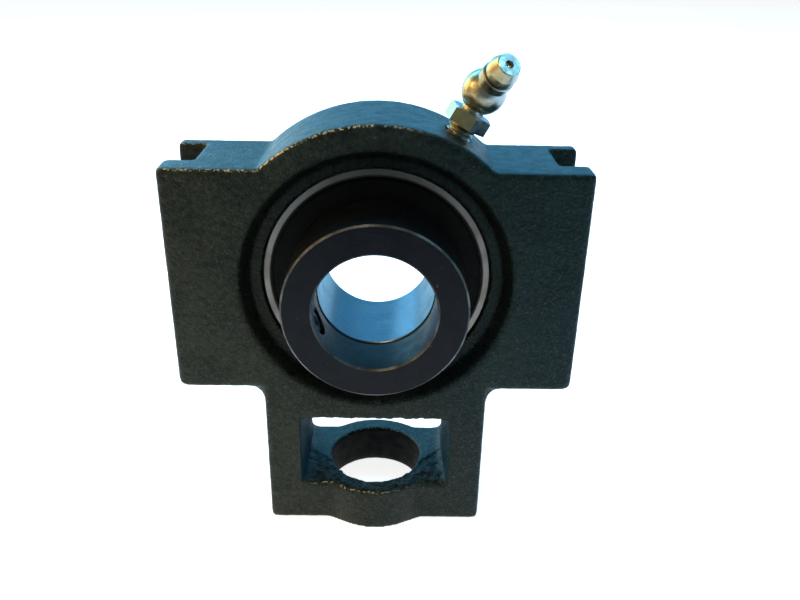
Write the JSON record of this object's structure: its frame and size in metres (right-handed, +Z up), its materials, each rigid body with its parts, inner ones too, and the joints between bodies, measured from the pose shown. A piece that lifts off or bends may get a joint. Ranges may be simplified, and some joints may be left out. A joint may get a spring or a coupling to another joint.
{
  "type": "take-up bearing unit",
  "caption": "Cast take-up bearing unit: arched housing with side guide grooves and a screw tail, holding a self-aligning insert bearing with an eccentric locking collar.",
  "frame": {"origin": "centre of the bearing, on the shaft axis and midway between the housing's two faces", "axes": "+X to the right seen from the collar side, +Y along the shaft away from the collar, +Z up along the travel, from the tail towards the arch"},
  "size_m": [0.089, 0.0405, 0.1109],
  "materials": {
    "cast_paint": "rough sand casting under dark green semi-gloss paint",
    "ring_steel": "ground steel",
    "ball_steel": "polished steel",
    "cage_steel": "pressed sheet steel",
    "seal_rubber": "moulded rubber",
    "black_steel": "black oxide, oiled",
    "screw_steel": "black oxide",
    "plated_steel": "bright plating with a yellow tint",
    "spring_steel": "drawn wire"
  },
  "bodies": {
    "housing": {"housing": "cast_paint", "grease_fitting_body": "plated_steel", "grease_fitting_head": "plated_steel", "grease_check_spring": "spring_steel"},
    "outer_ring": {"outer_ring": "ring_steel", "front_seal": "seal_rubber", "rear_seal": "seal_rubber"},
    "inner_ring": {"inner_ring": "ring_steel", "front_flinger": "black_steel", "rear_flinger": "black_steel"},
    "cage": {"cage_front": "cage_steel", "cage_rear": "cage_steel", "cage_rivets": "cage_steel"},
    "collar": {"locking_collar": "black_steel"},
    "set_screw": {"collar_set_screw": "screw_steel"},
    "check_ball": {"grease_check_ball": "ball_steel"},
    "ball_1": {"ball_1": "ball_steel"},
    "ball_2": {"ball_2": "ball_steel"},
    "ball_3": {"ball_3": "ball_steel"},
    "ball_4": {"ball_4": "ball_steel"},
    "ball_5": {"ball_5": "ball_steel"},
    "ball_6": {"ball_6": "ball_steel"},
    "ball_7": {"ball_7": "ball_steel"},
    "ball_8": {"ball_8": "ball_steel"},
    "ball_9": {"ball_9": "ball_steel"}
  },
  "joints": [
    {"name": "self_align", "type": "hinge", "parent": "housing", "child": "outer_ring", "pos_m": [0, 0, 0], "axis": [1, 0, 0], "range_deg": [-3, 3]},
    {"name": "shaft_spin", "type": "hinge", "parent": "outer_ring", "child": "inner_ring", "pos_m": [0, 0, 0], "axis": [0, -1, 0], "continuous": true},
    {"name": "cage_orbit", "type": "hinge", "parent": "outer_ring", "child": "cage", "pos_m": [0, 0, 0], "axis": [0, -1, 0], "continuous": true},
    {"name": "collar_lock", "type": "hinge", "parent": "inner_ring", "child": "collar", "pos_m": [0, 0, 0], "axis": [0, -1, 0], "range_deg": [-18, 18]},
    {"name": "set_screw_travel", "type": "slide", "parent": "collar", "child": "set_screw", "axis": [-0.9397, 0, -0.342], "range_m": [-0.0005, 0.003]},
    {"name": "check_ball_press", "type": "slide", "parent": "housing", "child": "check_ball", "axis": [-0.3428, 0.7071, -0.6184], "range_m": [0, 0.0008], "stiffness_N_per_m": 300, "springref_m": -0.0005, "deforming": ["grease_check_spring"]},
    {"name": "ball_1_spin", "type": "hinge", "parent": "cage", "child": "ball_1", "pos_m": [0, 0, 0.0195], "axis": [0, -1, 0], "continuous": true},
    {"name": "ball_2_spin", "type": "hinge", "parent": "cage", "child": "ball_2", "pos_m": [0.01253, 0, 0.01494], "axis": [0, -1, 0], "continuous": true},
    {"name": "ball_3_spin", "type": "hinge", "parent": "cage", "child": "ball_3", "pos_m": [0.0192, 0, 0.00339], "axis": [0, -1, 0], "continuous": true},
    {"name": "ball_4_spin", "type": "hinge", "parent": "cage", "child": "ball_4", "pos_m": [0.01689, 0, -0.00975], "axis": [0, -1, 0], "continuous": true},
    {"name": "ball_5_spin", "type": "hinge", "parent": "cage", "child": "ball_5", "pos_m": [0.00667, 0, -0.01832], "axis": [0, -1, 0], "continuous": true},
    {"name": "ball_6_spin", "type": "hinge", "parent": "cage", "child": "ball_6", "pos_m": [-0.00667, 0, -0.01832], "axis": [0, -1, 0], "continuous": true},
    {"name": "ball_7_spin", "type": "hinge", "parent": "cage", "child": "ball_7", "pos_m": [-0.01689, 0, -0.00975], "axis": [0, -1, 0], "continuous": true},
    {"name": "ball_8_spin", "type": "hinge", "parent": "cage", "child": "ball_8", "pos_m": [-0.0192, 0, 0.00339], "axis": [0, -1, 0], "continuous": true},
    {"name": "ball_9_spin", "type": "hinge", "parent": "cage", "child": "ball_9", "pos_m": [-0.01253, 0, 0.01494], "axis": [0, -1, 0], "continuous": true}
  ],
  "couplings": [
    {"joint": "cage_orbit", "follows": "shaft_spin", "ratio": 0.39823},
    {"joint": "ball_1_spin", "follows": "shaft_spin", "ratio": -2.3548},
    {"joint": "ball_2_spin", "follows": "shaft_spin", "ratio": -2.3548},
    {"joint": "ball_3_spin", "follows": "shaft_spin", "ratio": -2.3548},
    {"joint": "ball_4_spin", "follows": "shaft_spin", "ratio": -2.3548},
    {"joint": "ball_5_spin", "follows": "shaft_spin", "ratio": -2.3548},
    {"joint": "ball_6_spin", "follows": "shaft_spin", "ratio": -2.3548},
    {"joint": "ball_7_spin", "follows": "shaft_spin", "ratio": -2.3548},
    {"joint": "ball_8_spin", "follows": "shaft_spin", "ratio": -2.3548},
    {"joint": "ball_9_spin", "follows": "shaft_spin", "ratio": -2.3548}
  ]
}
